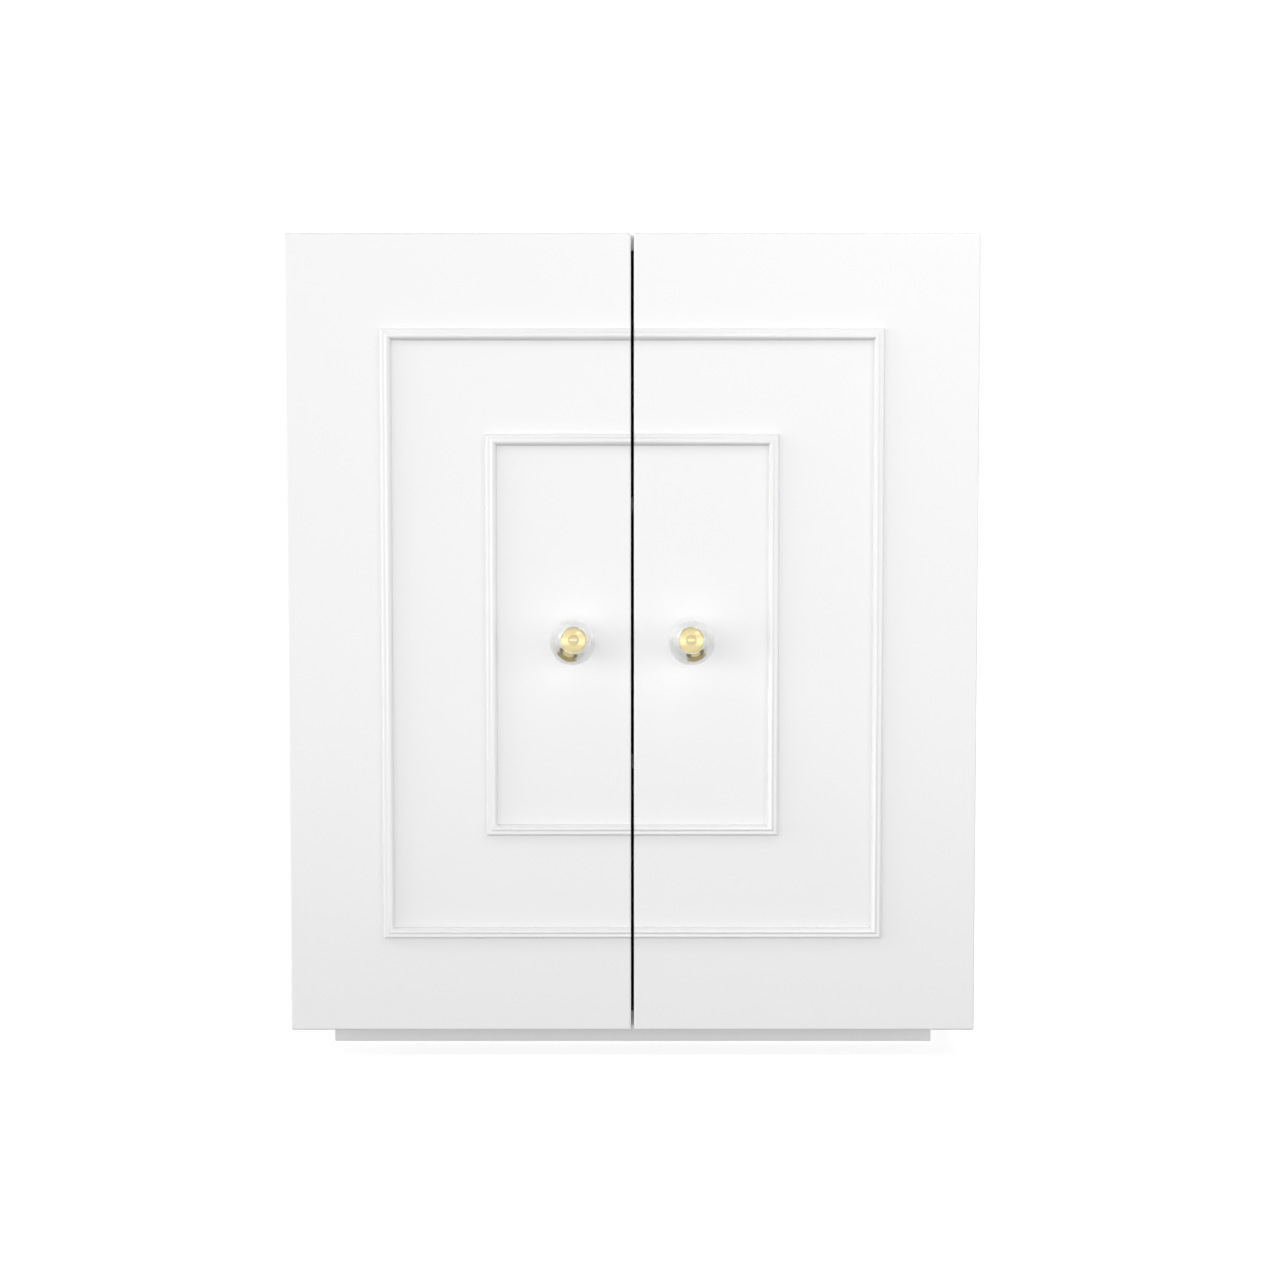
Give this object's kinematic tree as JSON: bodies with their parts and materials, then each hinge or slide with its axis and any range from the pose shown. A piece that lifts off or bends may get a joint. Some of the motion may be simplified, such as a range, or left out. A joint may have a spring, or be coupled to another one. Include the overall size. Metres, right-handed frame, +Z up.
{
  "type": "two-door storage cabinet",
  "caption": "Free-standing white lacquered cabinet with full-overlay doors, ring mouldings, clear ball knobs on brass posts, inner shelves and a recessed plinth.",
  "frame": {"origin": "on the floor, under the centre of the whole cabinet's outer box, knobs included", "axes": "+Z up, doors and knobs face -Y, +X to the right of someone who stands in front of the doors"},
  "size_m": [0.762, 0.466, 0.914],
  "materials": {
    "white_gloss_lacquer": "high-gloss white lacquer on MDF",
    "white_satin_lacquer": "satin white lacquer on MDF",
    "plinth_lacquer": "satin white lacquer on MDF",
    "clear_acrylic": "polished clear cast acrylic",
    "polished_brass": "polished, turned",
    "nickel_steel": "nickel-plated steel",
    "clear_bumper": "soft clear polyurethane"
  },
  "bodies": {
    "cabinet": {"side_panel_left": "white_gloss_lacquer", "side_panel_right": "white_gloss_lacquer", "top_panel": "white_gloss_lacquer", "bottom_panel": "white_gloss_lacquer", "back_panel": "white_satin_lacquer", "plinth_front": "plinth_lacquer", "plinth_back": "plinth_lacquer", "plinth_left": "plinth_lacquer", "plinth_right": "plinth_lacquer", "shelf_lower": "white_satin_lacquer", "shelf_upper": "white_satin_lacquer", "shelf_pin_lower_left_front": "nickel_steel", "shelf_pin_lower_left_back": "nickel_steel", "shelf_pin_lower_right_front": "nickel_steel", "shelf_pin_lower_right_back": "nickel_steel", "shelf_pin_upper_left_front": "nickel_steel", "shelf_pin_upper_left_back": "nickel_steel", "shelf_pin_upper_right_front": "nickel_steel", "shelf_pin_upper_right_back": "nickel_steel", "hinge_plate_left_lower": "nickel_steel", "hinge_arm_left_lower": "nickel_steel", "hinge_plate_left_upper": "nickel_steel", "hinge_arm_left_upper": "nickel_steel", "hinge_plate_right_lower": "nickel_steel", "hinge_arm_right_lower": "nickel_steel", "hinge_plate_right_upper": "nickel_steel", "hinge_arm_right_upper": "nickel_steel"},
    "left_door": {"door_left": "white_gloss_lacquer", "outer_moulding_top_left": "white_gloss_lacquer", "outer_moulding_stile_left": "white_gloss_lacquer", "outer_moulding_bottom_left": "white_gloss_lacquer", "inner_moulding_top_left": "white_gloss_lacquer", "inner_moulding_stile_left": "white_gloss_lacquer", "inner_moulding_bottom_left": "white_gloss_lacquer", "knob_ball_left": "clear_acrylic", "knob_post_left": "polished_brass", "knob_screw_left": "nickel_steel", "hinge_cup_left_lower": "nickel_steel", "hinge_pin_left_lower": "nickel_steel", "bumper_left_lower": "clear_bumper", "hinge_cup_left_upper": "nickel_steel", "hinge_pin_left_upper": "nickel_steel", "bumper_left_upper": "clear_bumper"},
    "right_door": {"door_right": "white_gloss_lacquer", "outer_moulding_top_right": "white_gloss_lacquer", "outer_moulding_stile_right": "white_gloss_lacquer", "outer_moulding_bottom_right": "white_gloss_lacquer", "inner_moulding_top_right": "white_gloss_lacquer", "inner_moulding_stile_right": "white_gloss_lacquer", "inner_moulding_bottom_right": "white_gloss_lacquer", "knob_ball_right": "clear_acrylic", "knob_post_right": "polished_brass", "knob_screw_right": "nickel_steel", "hinge_cup_right_lower": "nickel_steel", "hinge_pin_right_lower": "nickel_steel", "bumper_right_lower": "clear_bumper", "hinge_cup_right_upper": "nickel_steel", "hinge_pin_right_upper": "nickel_steel", "bumper_right_upper": "clear_bumper"}
  },
  "joints": [
    {"name": "left_door_hinge", "type": "hinge", "parent": "cabinet", "child": "left_door", "pos_m": [-0.3737, -0.1635, 0.473], "axis": [0, 0, -1], "range_deg": [0, 95]},
    {"name": "right_door_hinge", "type": "hinge", "parent": "cabinet", "child": "right_door", "pos_m": [0.3737, -0.1635, 0.473], "axis": [0, 0, 1], "range_deg": [0, 95]}
  ]
}
